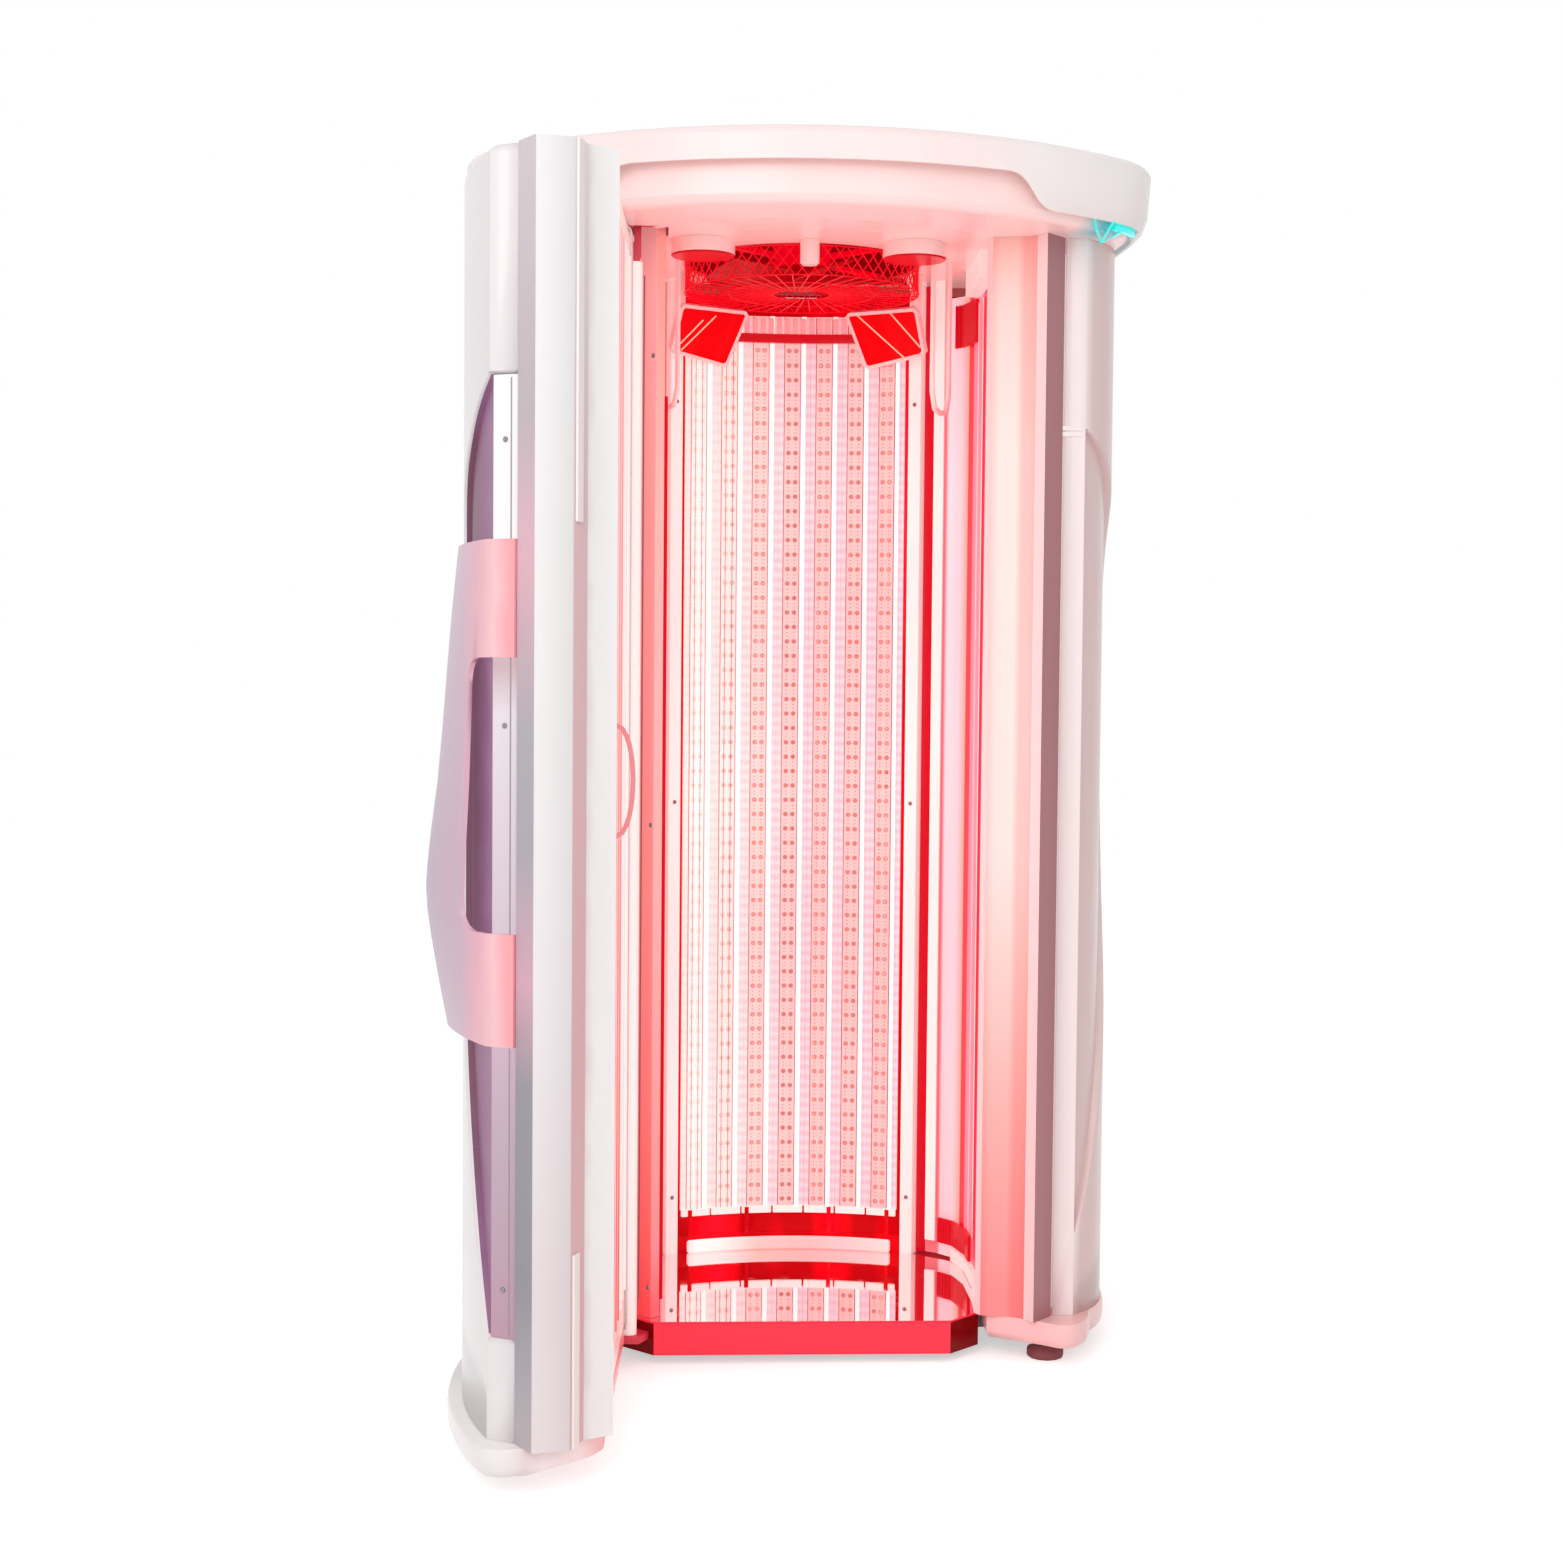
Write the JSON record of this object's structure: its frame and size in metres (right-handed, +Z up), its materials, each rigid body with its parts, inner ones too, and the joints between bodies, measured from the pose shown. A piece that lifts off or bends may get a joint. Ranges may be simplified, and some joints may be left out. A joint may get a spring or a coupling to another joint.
{
  "type": "vertical tanning booth",
  "caption": "Walk-in light booth: rounded white cabin with a curved wall of light boards, ceiling fan, mirror floor and one bulging hinged door with a stand-off handle.",
  "frame": {"origin": "on the floor, at the middle of the flat underside of the centre foot", "axes": "+Z up, -Y out of the entrance, +X to the right of someone who faces the entrance"},
  "size_m": [1.2853, 1.495, 2.218],
  "materials": {
    "gloss_white": "gloss white moulded plastic",
    "white_aluminium": "satin white coated extrusion",
    "satin_white": "satin white moulded plastic",
    "white_steel": "white powder-coated steel",
    "satin_aluminium": "satin anodised extrusion",
    "lamp_board": "light boards under clear sheet, pale strips between dotted rows",
    "red_lens": "deep red translucent plastic",
    "cyan_lens": "lit cyan translucent plastic",
    "rose_plastic": "rose-tinted translucent plastic",
    "red_acrylic": "polished red acrylic",
    "mirror_floor": "mirror-polished sheet",
    "painted_steel": "grey painted steel",
    "reflector_sheet": "bright aluminium sheet",
    "guard_wire": "chromed wire",
    "black_rubber": "black rubber"
  },
  "bodies": {
    "cabin": {"right_side_shell": "gloss_white", "left_side_shell": "gloss_white", "back_cover": "gloss_white", "canopy_lid": "gloss_white", "ceiling_tray": "gloss_white", "right_plinth": "gloss_white", "left_plinth": "gloss_white", "ceiling_nozzle": "gloss_white", "left_front_post": "white_aluminium", "right_trim_post": "white_aluminium", "left_trim_post": "white_aluminium", "heel_rail": "white_aluminium", "right_face_lamp_frame": "satin_white", "left_face_lamp_frame": "satin_white", "right_hand_grip": "white_steel", "left_hand_grip": "white_steel", "hinge_bracket_top": "white_steel", "right_nose_profile": "satin_aluminium", "back_lamp_1": "lamp_board", "back_lamp_2": "lamp_board", "back_lamp_3": "lamp_board", "back_lamp_4": "lamp_board", "back_lamp_5": "lamp_board", "back_lamp_6": "lamp_board", "back_lamp_7": "lamp_board", "right_lamp_panel": "lamp_board", "left_lamp_panel": "lamp_board", "lamp_top_rail": "red_lens", "right_ceiling_light": "red_lens", "left_ceiling_light": "red_lens", "right_face_lamp_lens": "red_lens", "left_face_lamp_lens": "red_lens", "right_accent_lens": "cyan_lens", "left_accent_lens": "cyan_lens", "base_skirt": "red_acrylic", "floor_plate": "mirror_floor", "base_chassis": "painted_steel", "fan_motor": "painted_steel", "back_reflector": "reflector_sheet", "power_supply": "reflector_sheet", "fan_guard": "guard_wire", "foot_centre": "black_rubber", "foot_front_right": "black_rubber", "foot_front_left": "black_rubber", "foot_rear_right": "black_rubber", "foot_rear_left": "black_rubber", "mains_gland": "black_rubber"},
    "door": {"door_shell": "gloss_white", "door_edge_strip": "satin_aluminium", "door_nose_profile": "satin_aluminium", "door_handle": "rose_plastic", "door_lamp_panel": "lamp_board", "door_pull": "white_steel", "door_top_cap": "gloss_white", "door_plinth": "gloss_white", "door_seal_upper": "satin_white", "door_seal_lower": "satin_white", "hinge_tube": "white_steel"},
    "fan": {"fan_impeller": "rose_plastic"}
  },
  "joints": [
    {"name": "door_hinge", "type": "hinge", "parent": "cabin", "child": "door", "pos_m": [-0.322, -0.284, 0], "axis": [0, 0, 1], "range_deg": [0, 92]},
    {"name": "fan_spin", "type": "hinge", "parent": "cabin", "child": "fan", "pos_m": [0, 0.057, 2.06], "axis": [0, 0, 1], "continuous": true}
  ]
}
